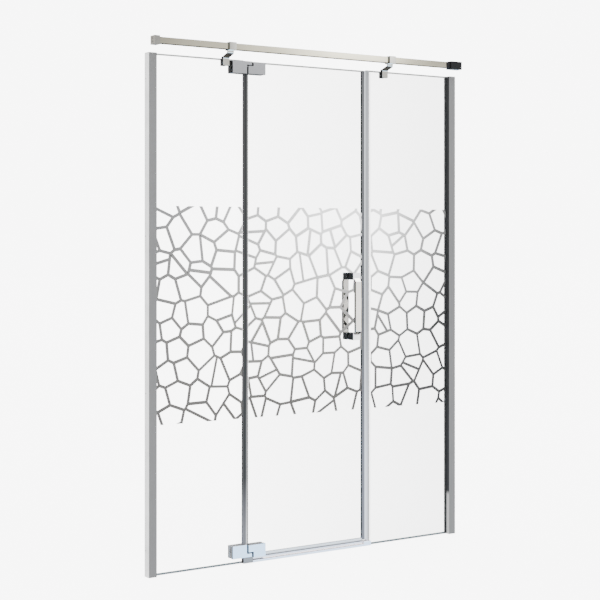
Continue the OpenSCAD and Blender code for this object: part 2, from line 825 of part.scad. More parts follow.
// Outline of a magnetic seal in X and Y, on a pane that ends at edge
module magnet_seal_outline(clip_x, edge, face) {
  difference() {
    area([clip_x, -seal_half], [face, seal_half]);
    area([clip_x - cut, -glass_half], [edge, glass_half]);
    area([face - magnet_skin - magnet_w, -magnet_d / 2], [face - magnet_skin, magnet_d / 2]);
  }
}

module magnet_outline(face) {
  area([face - magnet_skin - magnet_w, -magnet_d / 2], [face - magnet_skin, magnet_d / 2]);
}

door_seal_face = meet_x - magnet_gap / 2;
// Distances of the fixed seal are measured back from the right pane
fixed_seal_turn = 2 * meet_x;

module door_magnet_seal() {
  color(cool_grey) translate([0, 0, door_z0]) linear_extrude(door_z1 - door_z0)
    magnet_seal_outline(door_seal_x0, door_x1, door_seal_face);
}

module door_magnet() {
  color(black) translate([0, 0, door_z0]) linear_extrude(door_z1 - door_z0)
    magnet_outline(door_seal_face);
}

module turned_seal() {
  seal_floor = right_block_h + face_clear;
  translate([fixed_seal_turn, 0, seal_floor]) mirror([1, 0, 0])
    linear_extrude(panel_h - seal_floor) children();
}

module fixed_magnet_seal() {
  color(cool_grey) turned_seal()
    magnet_seal_outline(door_seal_x0, door_x1, door_seal_face);
}

module fixed_magnet() {
  color(black) turned_seal() magnet_outline(door_seal_face);
}

// Bottom seal: a clip on the door glass with a sweep behind and a drip lip in front
module door_bottom_seal() {
  color(clear_pvc) bottom_seal_run();
}

module bottom_seal_run() {
  sweep_z = threshold_h + lip_clear;
  web_z = door_z0 - seal_wall;
  root_z = door_z0 - seal_wall / 2;
  drip_z = sweep_z + lip_t;
  clip_z = door_z0 + bottom_clip_reach;
  drip_root_y = -seal_half + seal_wall / 3;
  drip_y = -seal_half - drip_out;
  sweep_y = glass_half - lip_t;
  along_x(moving_leaf_x1 + seal_end_gap, door_seal_x0 - seal_end_gap) difference() {
    union() {
      area([-seal_half, web_z], [seal_half, clip_z]);
      polygon([[0, root_z], [lip_t, root_z], [sweep_y + lip_t, sweep_z], [sweep_y, sweep_z]]);
      polygon([[drip_root_y, door_z0 + 2 * lip_t], [drip_y, drip_z],
               [drip_y + lip_t, drip_z], [drip_root_y + lip_t, door_z0 + lip_t]]);
    }
    area([-glass_half, door_z0], [glass_half, clip_z + cut]);
  }
}

// Threshold strip with a front ledge
module threshold() {
  color(cool_grey) along_x(left_block_x1, right_block_x0)
    polygon([
      [-threshold_front, 0], [threshold_back, 0], [threshold_back, ledge_h],
      [glass_half, threshold_h], [-glass_half - threshold_top, threshold_h],
      [-glass_half - threshold_top, ledge_h + ledge_step], [-threshold_front, ledge_h - 2 * ledge_step]
    ]);
}

// End block: its front covers the edge of the fixed pane, the rest stands beside the glass
module end_block(x0, x1, glass_x0, glass_x1, h) {
  difference() {
    block([x0, -threshold_front, 0], [x1, threshold_back, h]);
    block([glass_x0 - face_clear, -glass_half - face_clear, -cut],
          [glass_x1 + face_clear, threshold_back + cut, h + cut]);
  }
}

module left_threshold_block() {
  color(cool_grey) end_block(left_block_x0, left_block_x1, left_glass_x0, left_glass_x1, left_block_h);
}

module right_threshold_block() {
  color(cool_grey) end_block(right_block_x0, right_block_x1, right_glass_x0, right_glass_x1,
                             right_block_h);
}

color(grey_aluminium) wall_profile();  // left_profile
color(grey_aluminium) on_right() wall_profile();  // right_profile
color(dark_pvc) glazing();  // left_glazing
color(dark_pvc) on_right() glazing();  // right_glazing
color(grey_aluminium) profile_cap();  // left_profile_cap
color(grey_aluminium) on_right() profile_cap();  // right_profile_cap
left_glass();
right_glass();
support_bar();
bar_adjuster();
color(steel) bar_socket(left_socket_len, left_grub_x);  // left_bar_socket
color(black) on_right() bar_socket(right_socket_len, right_socket_len / 2);  // right_bar_socket
bar_set_screws();
bracket(left_bracket_x);  // left_bracket
bracket(right_bracket_x);  // right_bracket
bracket_jaw(left_bracket_x);  // left_bracket_jaw
bracket_jaw(right_bracket_x);  // right_bracket_jaw
color(dark_pvc) bracket_pads(left_bracket_x);  // left_bracket_pads
color(dark_pvc) bracket_pads(right_bracket_x);  // right_bracket_pads
bracket_screws();
threshold();
left_threshold_block();
right_threshold_block();
hinge_gap_seal();
fixed_magnet_seal();
fixed_magnet();
color(steel) at_top_hinge() fixed_outer();  // top_hinge_fixed_outer
color(steel) at_top_hinge() fixed_inner();  // top_hinge_fixed_inner
color(dark_pvc) at_top_hinge() fixed_gaskets();  // top_hinge_fixed_gaskets
at_top_hinge() hinge_pin();  // top_hinge_pin
color(steel) at_bottom_hinge() fixed_outer();  // bottom_hinge_fixed_outer
color(steel) at_bottom_hinge() fixed_inner();  // bottom_hinge_fixed_inner
color(dark_pvc) at_bottom_hinge() fixed_gaskets();  // bottom_hinge_fixed_gaskets
at_bottom_hinge() hinge_pin();  // bottom_hinge_pin
hinge_screws(fixed_clamps_x, 0);  // hinge_fixed_screws
door_glass();
door_bottom_seal();
door_magnet_seal();
door_magnet();
color(steel) at_top_hinge() moving_outer(leaf_drop);  // top_hinge_moving_outer
color(steel) at_top_hinge() moving_inner(leaf_drop);  // top_hinge_moving_inner
color(dark_pvc) at_top_hinge() moving_gaskets(leaf_drop);  // top_hinge_moving_gaskets
at_top_hinge() hinge_bush();  // top_hinge_bush
color(steel) at_bottom_hinge() moving_outer(-leaf_drop);  // bottom_hinge_moving_outer
color(steel) at_bottom_hinge() moving_inner(-leaf_drop);  // bottom_hinge_moving_inner
color(dark_pvc) at_bottom_hinge() moving_gaskets(-leaf_drop);  // bottom_hinge_moving_gaskets
at_bottom_hinge() hinge_bush();  // bottom_hinge_bush
hinge_screws(moving_clamps_x, leaf_drop);  // hinge_moving_screws
grip();  // outer_grip
inside() grip();  // inner_grip
post(handle_z + post_z);  // upper_outer_post
post(handle_z - post_z);  // lower_outer_post
inside() post(handle_z + post_z);  // upper_inner_post
inside() post(handle_z - post_z);  // lower_inner_post
handle_washers();
handle_studs();
handle_grub_screws();
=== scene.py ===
# Hinged shower door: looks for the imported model, in the model's own frame and in metres.
import bpy
import json
import math
import random
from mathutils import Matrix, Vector


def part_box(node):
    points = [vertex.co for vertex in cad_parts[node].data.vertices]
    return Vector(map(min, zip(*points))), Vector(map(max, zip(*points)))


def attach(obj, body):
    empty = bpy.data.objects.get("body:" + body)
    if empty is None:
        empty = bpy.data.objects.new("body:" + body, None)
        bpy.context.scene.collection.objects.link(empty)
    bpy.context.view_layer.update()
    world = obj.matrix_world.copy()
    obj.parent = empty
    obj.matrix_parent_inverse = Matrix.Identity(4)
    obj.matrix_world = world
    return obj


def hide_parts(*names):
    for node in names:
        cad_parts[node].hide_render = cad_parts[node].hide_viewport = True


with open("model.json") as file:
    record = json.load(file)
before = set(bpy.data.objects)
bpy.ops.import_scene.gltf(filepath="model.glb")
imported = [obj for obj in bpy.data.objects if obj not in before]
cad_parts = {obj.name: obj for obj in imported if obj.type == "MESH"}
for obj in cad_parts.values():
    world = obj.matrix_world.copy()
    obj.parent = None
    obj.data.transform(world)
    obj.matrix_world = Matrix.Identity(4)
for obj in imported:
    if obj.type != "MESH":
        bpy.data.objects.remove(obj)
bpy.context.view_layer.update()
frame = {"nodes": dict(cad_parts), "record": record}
nodes = frame["nodes"]
bodies = frame["record"]["behaviour"]["bodies"]
bpy.ops.object.select_all(action="DESELECT")

MM = 0.001
COS_45 = math.sqrt(0.5)
NICHE_WIDTH = 1.5

# The camera, as the photo's vanishing points put it
PHOTO_PX = 600
PHOTO_FOCAL_PX = 1417.0
HORIZON_PX = 239.0
CAMERA_PLACE = (-2.478, -4.838, 1.289)
VIEW_TURN = math.atan2(0.5495, 0.8355)
SENSOR_WIDTH = 36.0
FAR_CLIP = 200

# Panes: where their faces begin, counted from the middle plane, and how high their dark rims show
PANE_TOP = 2.0
GLASS_FRONT = -0.004
FACE_START, FACE_FULL = 0.00388, 0.00392
TOP_RIM = 0.0062
FOOT_RIM = 0.0072
EDGE_GREEN = (0.012, 0.018, 0.016)
# Rim colours: the foot and top rims below are painted light, paler than the dark green rim between them.
FOOT_EDGE_PAINTED_LIGHT = (0.095, 0.105, 0.10)
TOP_EDGE_PAINTED_LIGHT = (0.34, 0.355, 0.35)
GLASS_TINT = (0.05, 0.057, 0.057)

# Line pattern: its band, its cells and its lines
BAND_LOW, BAND_HIGH = 0.575, 1.417
CELL_SPACING = 0.092
CELL_REACH = 3.2
ROW_SHARE = 0.9
SIDE_SHARE = 0.4
SCATTER = 0.38
NEIGHBOURS = 18
SPLIT_CHANCE = 0.3
SPLIT_ROOM = 0.72
PATTERN_SEED = 15
LINE_WIDTH = 0.0125
LINE_WELD = 0.0002
THINNEST, THICKEST = 0.86, 1.16
LINE_RELIEF = 0.3 * MM
LINE_LIFT = 0.05 * MM
LINE_END_GAP = 0.6 * MM

# Closing seals: their bands start here and lie within this width
SEALS_START = 1.0
SEALS_SPAN_MM = 60.0

# Surface noise: the range that it is read over, its detail and its sizes
NOISE_LOW, NOISE_HIGH = 0.3, 0.7
NOISE_DETAIL = 3.0
METAL_GRAIN, METAL_CLOUDS = 400.0, 9.0
PLASTIC_GRAIN, PLASTIC_CLOUDS = 900.0, 14.0
PLASTIC_RELIEF = 0.00003
BUMP_STRENGTH = 0.5

# Eased edges
WELD = 0.00001
FLAT_ANGLE = math.radians(1)
SHARP_ANGLE = math.radians(40)
SMOOTH_ANGLE = math.radians(35)

# Studio
BACKDROP_LIGHT = 8.0
SOFT_LIGHT = 2.4
FLOOR_SIZE = 80
FLOOR_DROP = 0.5 * MM
SOFTBOX_SLOPE = -0.0127
SOFTBOX_EDGE_LOW, SOFTBOX_EDGE_HIGH = 0.5565, 0.5575


# Finishes


def new_finish(name):
    """A new node material, with its tree and its shader."""
    finish = bpy.data.materials.new(name)
    finish.use_nodes = True
    tree = finish.node_tree
    shader = tree.nodes["Principled BSDF"]
    return finish, tree, shader


def object_place(tree, scale=(1.0, 1.0, 1.0)):
    """The piece's own coordinates, stretched by scale."""
    place = tree.nodes.new("ShaderNodeTexCoord")
    stretch = tree.nodes.new("ShaderNodeMapping")
    stretch.inputs["Scale"].default_value = scale
    tree.links.new(place.outputs["Object"], stretch.inputs["Vector"])
    return stretch.outputs["Vector"]


def grain(tree, scale, stretch=(1.0, 1.0, 1.0)):
    """Noise in object coordinates."""
    noise = tree.nodes.new("ShaderNodeTexNoise")
    noise.inputs["Scale"].default_value = scale
    noise.inputs["Detail"].default_value = NOISE_DETAIL
    tree.links.new(object_place(tree, stretch), noise.inputs["Vector"])
    return noise.outputs["Fac"]


def between(tree, value, low, high, to_low, to_high):
    """The value, moved from one range to another and held inside it."""
    node = tree.nodes.new("ShaderNodeMapRange")
    node.clamp = True
    for socket, number in (("From Min", low), ("From Max", high), ("To Min", to_low), ("To Max", to_high)):
        node.inputs[socket].default_value = number
    tree.links.new(value, node.inputs["Value"])
    return node.outputs["Result"]


def along(tree, axis):
    """One object coordinate: X, Y or Z."""
    split = tree.nodes.new("ShaderNodeSeparateXYZ")
    tree.links.new(object_place(tree), split.inputs["Vector"])
    return split.outputs[axis]


def shade_by(tree, value, stops, step=False):
    """A colour ramp over value: stops are (place, colour)."""
    ramp = tree.nodes.new("ShaderNodeValToRGB")
    ramp.color_ramp.interpolation = "CONSTANT" if step else "LINEAR"
    points = ramp.color_ramp.elements
    while len(points) > 1:
        points.remove(points[-1])
    for i, (place, colour) in enumerate(stops):
        point = points[0] if i == 0 else points.new(place)
        point.position = place
        point.color = (*colour, 1.0)
    tree.links.new(value, ramp.inputs["Fac"])
    return ramp.outputs["Color"]


def math_of(tree, operation, *values):
    """A math node's result: each value is another node's output or a plain number."""
    node = tree.nodes.new("ShaderNodeMath")
    node.operation = operation
    for i, value in enumerate(values):
        if isinstance(value, float):
            node.inputs[i].default_value = value
        else:
            tree.links.new(value, node.inputs[i])
    return node.outputs[0]


def vary_roughness(tree, shader, noise, low, high):
    """Roughness from low to high by the noise."""
    tree.links.new(between(tree, noise, NOISE_LOW, NOISE_HIGH, low, high), shader.inputs["Roughness"])


def bump(tree, shader, height, depth):
    """Fine relief of that depth."""
    node = tree.nodes.new("ShaderNodeBump")
    node.inputs["Strength"].default_value = BUMP_STRENGTH
    node.inputs["Distance"].default_value = depth
    tree.links.new(height, node.inputs["Height"])
    tree.links.new(node.outputs["Normal"], shader.inputs["Normal"])


def grey(level, warm=0.0):
    """A grey of that level, made a little warmer, or cooler where warm is below 0."""
    return level * (1 + warm), level, level * (1 - 1.6 * warm)


def cloudy(tree, shader, clouds, colour, share):
    """The colour, by that share darker or paler from cloud to cloud."""
    low = tuple(c * (1 - share) for c in colour)
    high = tuple(min(1.0, c * (1 + share)) for c in colour)
    shade = shade_by(tree, clouds, [(NOISE_LOW, low), (NOISE_HIGH, high)])
    tree.links.new(shade, shader.inputs["Base Color"])


def metal(name, colour, rough, stretch=(1.0, 1.0, 1.0), spread=0.05, depth=0.00002, metallic=1.0):
    """Plated or anodised metal: its grain runs along the axis where stretch is small."""
    finish, tree, shader = new_finish(name)
    shader.inputs["Metallic"].default_value = metallic
    shader.inputs["Specular IOR Level"].default_value = 0.25
    lines = grain(tree, METAL_GRAIN, stretch)
    cloudy(tree, shader, grain(tree, METAL_CLOUDS), colour, 0.03)
    vary_roughness(tree, shader, lines, rough - spread, rough + spread)
    bump(tree, shader, lines, depth)
    return finish


def plastic(name, colour, rough):
    """Moulded plastic or rubber with a fine skin."""
    finish, tree, shader = new_finish(name)
    shader.inputs["Specular IOR Level"].default_value = 0.15
    skin = grain(tree, PLASTIC_GRAIN)
    cloudy(tree, shader, grain(tree, PLASTIC_CLOUDS), colour, 0.1)
    vary_roughness(tree, shader, skin, rough - 0.05, rough + 0.05)
    bump(tree, shader, skin, PLASTIC_RELIEF)
    return finish


def clear_plastic(name, colour, cover, rough):
    """Clear or milky plastic: cover is how much it hides."""
    finish = plastic(name, colour, rough)
    finish.node_tree.nodes["Principled BSDF"].inputs["Alpha"].default_value = cover
    finish.surface_render_method = "BLENDED"
    return finish


def clear_seal_painted_shadow():
    """The bottom seal's milky plastic, with a painted shadow line from 20.5 to 24.5 mm above the tray."""
    milky = (0.80, 0.89, 1.0)
    # Painted shadow: a dark line on the seal, standing in for the shade where the glass's foot sits in it.
    line = (0.20, 0.22, 0.26)
    finish = clear_plastic("clear_pvc", milky, 0.9, 0.3)
    tree = finish.node_tree
    height = between(tree, along(tree, "Z"), 0.0, 0.05, 0.0, 1.0)
    colour = shade_by(tree, height, [(0.0, milky), (0.41, line), (0.49, milky)], step=True)
    tree.links.new(colour, tree.nodes["Principled BSDF"].inputs["Base Color"])
    return finish


def mask(tree, *factors):
    """The product of factors."""
    product = factors[0]
    for factor in factors[1:]:
        product = math_of(tree, "MULTIPLY", product, factor)
    return product


def mixed(tree, factor, low, high):
    """A number from low to high by factor."""
    node = tree.nodes.new("ShaderNodeMix")
    node.data_type = "FLOAT"
    for socket, value in (("A", low), ("B", high)):
        if isinstance(value, float):
            node.inputs[socket].default_value = value
        else:
            tree.links.new(value, node.inputs[socket])
    tree.links.new(factor, node.inputs["Factor"])
    return node.outputs["Result"]


def blended(tree, factor, first, other):
    """The first colour where factor is 0, the other where it is 1."""
    mix = tree.nodes.new("ShaderNodeMix")
    mix.data_type = "RGBA"
    tree.links.new(factor, mix.inputs["Factor"])
    for socket, colour in (("A", first), ("B", other)):
        if isinstance(colour, tuple):
            mix.inputs[socket].default_value = (*colour, 1.0)
        else:
            tree.links.new(colour, mix.inputs[socket])
    return mix.outputs["Result"]


def pane_glass_painted_shade(name, bottom, top):
    """Clear toughened glass, faintly grey, with dark edges, and painted shade and light: its faces denser to
    the right and clearer on the left pane, its foot and top edges paler.
    """
    finish, tree, shader = new_finish(name)
    shader.inputs["IOR"].default_value = 1.5
    shader.inputs["Roughness"].default_value = 0.02
    depth = math_of(tree, "ABSOLUTE", along(tree, "Y"))
    face = between(tree, depth, FACE_START, FACE_FULL, 0.0, 1.0)
    over_foot = between(tree, along(tree, "Z"), bottom + 0.9 * FOOT_RIM, bottom + FOOT_RIM, 0.0, 1.0)
    under_top = between(tree, along(tree, "Z"), top - TOP_RIM, top - 0.9 * TOP_RIM, 1.0, 0.0)
    clear = mask(tree, face, over_foot, under_top)
    # Painted shade: the faces grow denser from left to right, and clearer still on the left pane, standing
    # in for reflections that darken the glass towards the right.
    painted_shade = between(tree, along(tree, "X"), 0.44, 1.48, 0.08, 0.21)
    left = between(tree, along(tree, "X"), 0.40, 0.45, 0.3, 1.0)
    tree.links.new(mixed(tree, clear, 1.0, mask(tree, painted_shade, left)), shader.inputs["Alpha"])
    # Painted light: paler edge colours at the foot and at the top.
    edge = shade_by(tree, between(tree, along(tree, "Z"), 0.0, PANE_TOP, 0.0, 1.0), [
        (0.3, FOOT_EDGE_PAINTED_LIGHT), (0.35, EDGE_GREEN), (0.95, EDGE_GREEN), (0.98, TOP_EDGE_PAINTED_LIGHT)])
    tree.links.new(blended(tree, clear, edge, GLASS_TINT), shader.inputs["Base Color"])
    finish.surface_render_method = "BLENDED"
    return finish


def line_print_painted_light():
    """Grey line print on the glass, with painted light and shade on it: darker towards the tray and the
    walls, palest at the upper right.
    """
    finish, tree, shader = new_finish("line_print_painted_light")
    shader.inputs["Specular IOR Level"].default_value = 0.1
    across = between(tree, along(tree, "X"), 0.0, NICHE_WIDTH, 0.0, 1.0)
    # Painted light and shade: the print's grey is set by its place on the glass, darker at the foot, palest
    # at the upper right.
    foot = shade_by(tree, across, [
        (0.05, grey(0.10, 0.03)), (0.60, grey(0.105, 0.03)), (0.70, grey(0.085, 0.02)),
        (0.95, grey(0.045))])
    middle = shade_by(tree, across, [
        (0.07, grey(0.14, 0.02)), (0.24, grey(0.19, 0.02)), (0.36, grey(0.25, 0.02)),
        (0.66, grey(0.25, 0.02)), (0.76, grey(0.17)), (0.84, grey(0.11)), (0.94, grey(0.05))])
    head = shade_by(tree, across, [
        (0.07, grey(0.19)), (0.24, grey(0.36)), (0.35, grey(0.48)), (0.55, grey(0.90)), (0.74, grey(0.92)),
        (0.84, grey(0.48)), (0.94, grey(0.19))])
    shade = foot
    for upper, low, high in ((middle, 0.66, 0.95), (head, 0.95, 1.37)):
        shade = blended(tree, between(tree, along(tree, "Z"), low, high, 0.0, 1.0), shade, upper)
    tree.links.new(shade, shader.inputs["Base Color"])
    vary_roughness(tree, shader, grain(tree, 1500.0), 0.5, 0.7)
    return finish


def painted_light_two_tone(name, foot, head, border):
    """Painted light in two tones: one near the tray, the other above the border height."""
    finish, tree, shader = new_finish(name)
    shader.inputs["Specular IOR Level"].default_value = 0.2
    height = between(tree, along(tree, "Z"), border - 0.01, border + 0.01, 0.0, 1.0)
    tree.links.new(blended(tree, height, foot, head), shader.inputs["Base Color"])
    vary_roughness(tree, shader, grain(tree, METAL_GRAIN, (1.0, 1.0, 0.01)), 0.4, 0.5)
    return finish


def closing_seals_painted_light():
    """The two magnet seals: their sections show as bands along the closing edge, between clear clips; the
    bands' tones are painted light and shade, paler and bluer towards the tray.
    """
    finish, tree, shader = new_finish("seal_plastic")
    shader.inputs["Specular IOR Level"].default_value = 0.2
    across = between(tree, along(tree, "X"), SEALS_START, SEALS_START + SEALS_SPAN_MM * MM, 0.0, 1.0)
    edges_mm = (12.5, 17.5, 22.5, 28.0, 32.0, 37.0, 42.0)
    upper = ((0.105, 0.107, 0.115), (0.035, 0.036, 0.04), (0.50, 0.53, 0.56), (0.42, 0.44, 0.46),
             (0.33, 0.35, 0.37), (0.25, 0.265, 0.285), (0.42, 0.43, 0.44))
    lower = ((0.15, 0.16, 0.19), (0.10, 0.108, 0.135), (0.42, 0.46, 0.53), (0.72, 0.79, 0.88),
             (0.70, 0.74, 0.81), (0.52, 0.55, 0.61), (0.36, 0.37, 0.38))
    bands = []
    for colours in (lower, upper):
        stops = [(mm / SEALS_SPAN_MM, colour) for mm, colour in zip(edges_mm, colours)]
        bands.append(shade_by(tree, across, stops, step=True))
    shade = blended(tree, between(tree, along(tree, "Z"), 0.35, 0.95, 0.0, 1.0), *bands)
    tree.links.new(shade, shader.inputs["Base Color"])
    vary_roughness(tree, shader, grain(tree, 300.0, (1.0, 1.0, 0.05)), 0.34, 0.46)
    clip_cover = 0.12
    from_left = between(tree, along(tree, "X"), 1.0121, 1.0123, clip_cover, 1.0)
    to_right = between(tree, along(tree, "X"), 1.0498, 1.0500, 1.0, clip_cover)
    tree.links.new(mask(tree, from_left, to_right), shader.inputs["Alpha"])
    finish.surface_render_method = "BLENDED"
    return finish


def gap_seal():
    """Seal of the hinge gap: a dark body between clear lips, further left towards the tray. Its tones are
    painted: shade, darkest in the middle of the gap, and light, paler and bluer towards the tray.
    """
    finish, tree, shader = new_finish("hinge_gap_seal_painted_light")
    shader.inputs["Specular IOR Level"].default_value = 0.15
    shift = between(tree, along(tree, "Z"), 0.55, 0.90, 0.004, 0.0)
    place = math_of(tree, "ADD", along(tree, "X"), shift)
    across = between(tree, place, 0.425, 0.455, 0.0, 1.0)
    upper = shade_by(tree, across, [
        (0.16, grey(0.060)), (0.34, grey(0.030)), (0.50, grey(0.018)), (0.64, grey(0.018)),
        (0.70, grey(0.05)), (0.82, grey(0.11)), (0.86, grey(0.30)), (0.95, grey(0.42))])
    foot = shade_by(tree, across, [
        (0.16, (0.17, 0.18, 0.21)), (0.45, (0.115, 0.117, 0.13)), (0.70, (0.17, 0.18, 0.20)),
        (0.85, grey(0.6))])
    shade = blended(tree, between(tree, along(tree, "Z"), 0.12, 0.34, 0.0, 1.0), foot, upper)
    tree.links.new(shade, shader.inputs["Base Color"])
    skin = grain(tree, 600.0, (1.0, 1.0, 0.1))
    vary_roughness(tree, shader, skin, 0.35, 0.5)
    bump(tree, shader, skin, 0.00002)
    clip_cover = 0.08
    body = between(tree, place, 0.4288, 0.4290, clip_cover, 1.0)
    lip = between(tree, place, 0.4522, 0.4532, 1.0, 0.15)
    behind = between(tree, place, 0.4328, 0.4330, 0.0, 1.0)
    front = between(tree, along(tree, "Y"), 0.0, 0.0002, 1.0, 0.0)
    shown = math_of(tree, "MAXIMUM", behind, mixed(tree, front, clip_cover, 1.0))
    tree.links.new(mask(tree, body, lip, shown), shader.inputs["Alpha"])
    finish.surface_render_method = "BLENDED"
    return finish


door_foot, door_top = (corner.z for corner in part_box("door_glass"))
finishes = {
    "satin_aluminium": metal("satin_aluminium", grey(0.145), 0.5, (1.0, 1.0, 0.01), metallic=0.0),
    "clear_glass": pane_glass_painted_shade("clear_glass", 0.0, PANE_TOP),
    "glazing_rubber": plastic("glazing_rubber", grey(0.02, -0.05), 0.6),
    # Painted reflection: the steel's grey is warmed to beige, standing in for the warm surroundings it
    # mirrors.
    "polished_steel": metal("polished_steel", (0.84, 0.79, 0.61), 0.045, (0.02, 1.0, 1.0), 0.015, 0.000004),
    "black_plastic": plastic("black_plastic", grey(0.006), 0.4),
    # Painted reflection: the fittings' grey is warmed a little the same way.
    "cast_fittings": metal("cast_fittings", (0.74, 0.725, 0.66), 0.05, spread=0.015, depth=0.000004),
    "hinge_metal": metal("hinge_metal", (0.58, 0.59, 0.615), 0.06, spread=0.02, depth=0.000004),
    "clear_pvc": clear_seal_painted_shadow(),
    "seal_plastic": closing_seals_painted_light(),
    "magnet_strip": plastic("magnet_strip", grey(0.010), 0.7),
    "tray_metal": metal("tray_metal", (0.70, 0.66, 0.67), 0.25, (0.02, 1.0, 1.0)),
    "screw_steel": metal("screw_steel", grey(0.60), 0.3),
}
door_glass_finish = pane_glass_painted_shade("door_glass_clear", door_foot, door_top)
# Painted shade and light in the hinge gap seal's tones.
gap_seal_painted_light_finish = gap_seal()
# Painted reflection: the grips' steel is warmed a little the same way.
grip_finish = metal("grip_metal", (0.80, 0.775, 0.72), 0.04, (1.0, 1.0, 0.02), 0.01, 0.000002)
post_finish = metal("post_metal", (0.93, 0.94, 0.97), 0.05, spread=0.02, depth=0.000004)
side_finish = metal("polished_side", grey(0.70), 0.08, (1.0, 1.0, 0.01), 0.02)
# Painted reflection: the front half of the right profile's side made near black above 0.18 m and grey below.
right_profile_painted_reflection_finish = painted_light_two_tone("profile_side_painted_reflection", grey(0.42), grey(0.022), 0.18)
# Painted reflection: the posts' left sides made near black.
post_side_painted_reflection = plastic("post_side", grey(0.008), 0.5)
# Painted light: the left profile's wall side made pale grey, lighter than its front.
pale_wall_side_painted_light = plastic("pale_wall_side_painted_light", grey(0.80), 0.6)
# Painted light: the bottom hinge's gaskets made pale bluish grey, the top hinge's near black.
hinge_gasket_painted_light_finish = painted_light_two_tone("gasket_painted_light", (0.33, 0.34, 0.36), grey(0.05), 1.0)
clear_strip_finish = clear_plastic("clear_strip", (0.80, 0.83, 0.86), 0.15, 0.4)
washer_finish = plastic("washer_dark", grey(0.012), 0.5)
# Painted shade: the moving leaves' sides in the hinge gap made near black, slightly warmer at the bottom
# hinge.
gap_side_painted_shade_finish = painted_light_two_tone("gap_side", (0.022, 0.018, 0.012), grey(0.008), 1.0)
# Painted reflection: the brackets' left sides made near black.
bracket_side_painted_reflection = plastic("bracket_side", grey(0.008), 0.5)
# Painted reflection: the bar's sloping front edges and its underside made dark.
bar_edge_painted_reflection = metal("bar_edge", grey(0.05), 0.1, (0.02, 1.0, 1.0), 0.02)
# Painted reflection: the grips' left sides made dark, the inner one darker.
outer_grip_side_painted_reflection = plastic("grip_side", grey(0.03), 0.5)
inner_grip_side_painted_reflection = plastic("inner_grip_side", grey(0.006), 0.5)
# Painted reflection: the bottom hinge's fixed plates' left sides made bluish grey.
low_hinge_side_painted_reflection = plastic("low_hinge_side", (0.145, 0.155, 0.17), 0.5)
# Painted reflection: the left bar socket's wall side made dark brownish grey.
socket_wall_face_painted_reflection = plastic("wall_face", (0.20, 0.19, 0.165), 0.7)
block_finish = metal("block_metal", (0.19, 0.158, 0.14), 0.25, (0.02, 1.0, 1.0))
print_painted_light_finish = line_print_painted_light()
# Painted shade: the back of the printed lines made near black, standing in for the shade behind them.
print_back_painted_shade_finish = plastic("print_back", grey(0.02), 0.7)

for entry in frame["record"]["subparts"]:
    piece = nodes[entry["node"]]
    piece.data.materials.clear()
    piece.data.materials.append(finishes[entry["material_slot"]])
nodes["hinge_gap_seal"].data.materials[0] = gap_seal_painted_light_finish
nodes["door_glass"].data.materials[0] = door_glass_finish
nodes["left_threshold_block"].data.materials[0] = block_finish
for hinge in ("top_hinge", "bottom_hinge"):
    for leaf in ("fixed", "moving"):
        nodes[f"{hinge}_{leaf}_gaskets"].data.materials[0] = hinge_gasket_painted_light_finish
nodes["handle_washers"].data.materials[0] = washer_finish
for side in ("outer", "inner"):
    nodes[f"{side}_grip"].data.materials[0] = grip_finish
    for end in ("upper", "lower"):
        nodes[f"{end}_{side}_post"].data.materials[0] = post_finish


# Eased metal


def body_of(node):
    """The body that the node belongs to."""
    return next(b for b, members in bodies.items() if node in members)


def only(piece):
    """Select one piece and make it the active one."""
    bpy.ops.object.select_all(action="DESELECT")
    piece.select_set(True)
    bpy.context.view_layer.objects.active = piece


def eased(node, width):
    """The node's own shape with its sharp edges eased and its flat faces kept flat."""
    piece = bpy.data.objects.new(node + "_eased", nodes[node].data.copy())
    bpy.context.scene.collection.objects.link(piece)
    only(piece)
    bpy.ops.object.mode_set(mode="EDIT")
    bpy.ops.mesh.select_all(action="SELECT")
    bpy.ops.mesh.remove_doubles(threshold=WELD)
    bpy.ops.mesh.dissolve_limited(angle_limit=FLAT_ANGLE)
    bpy.ops.mesh.select_all(action="DESELECT")
    bpy.ops.mesh.select_mode(type="EDGE")
    bpy.ops.mesh.edges_select_sharp(sharpness=SHARP_ANGLE)
    bpy.ops.mesh.bevel(offset=width, segments=1, affect="EDGES", clamp_overlap=True)
    bpy.ops.object.mode_set(mode="OBJECT")
    bpy.ops.object.shade_smooth_by_angle(angle=SMOOTH_ANGLE)
    bpy.ops.object.modifier_add(type="WEIGHTED_NORMAL")
    piece.modifiers[-1].keep_sharp = True
    bpy.ops.object.modifier_apply(modifier=piece.modifiers[-1].name)
    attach(piece, body_of(node))
    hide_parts(node)
    return piece


def side_coat(piece, finish, outward, reach=None):
    """Another finish on the piece's flat faces that look outward, or on those of them within reach."""
    piece.data.materials.append(finish)
    for face in piece.data.polygons:
        if face.normal.dot(Vector(outward)) > 0.99 and (reach is None or reach(face.center)):
            face.material_index = len(piece.data.materials) - 1


def in_front(place):
    """Whether a place lies before the panes' middle plane."""
    return place.y < 0


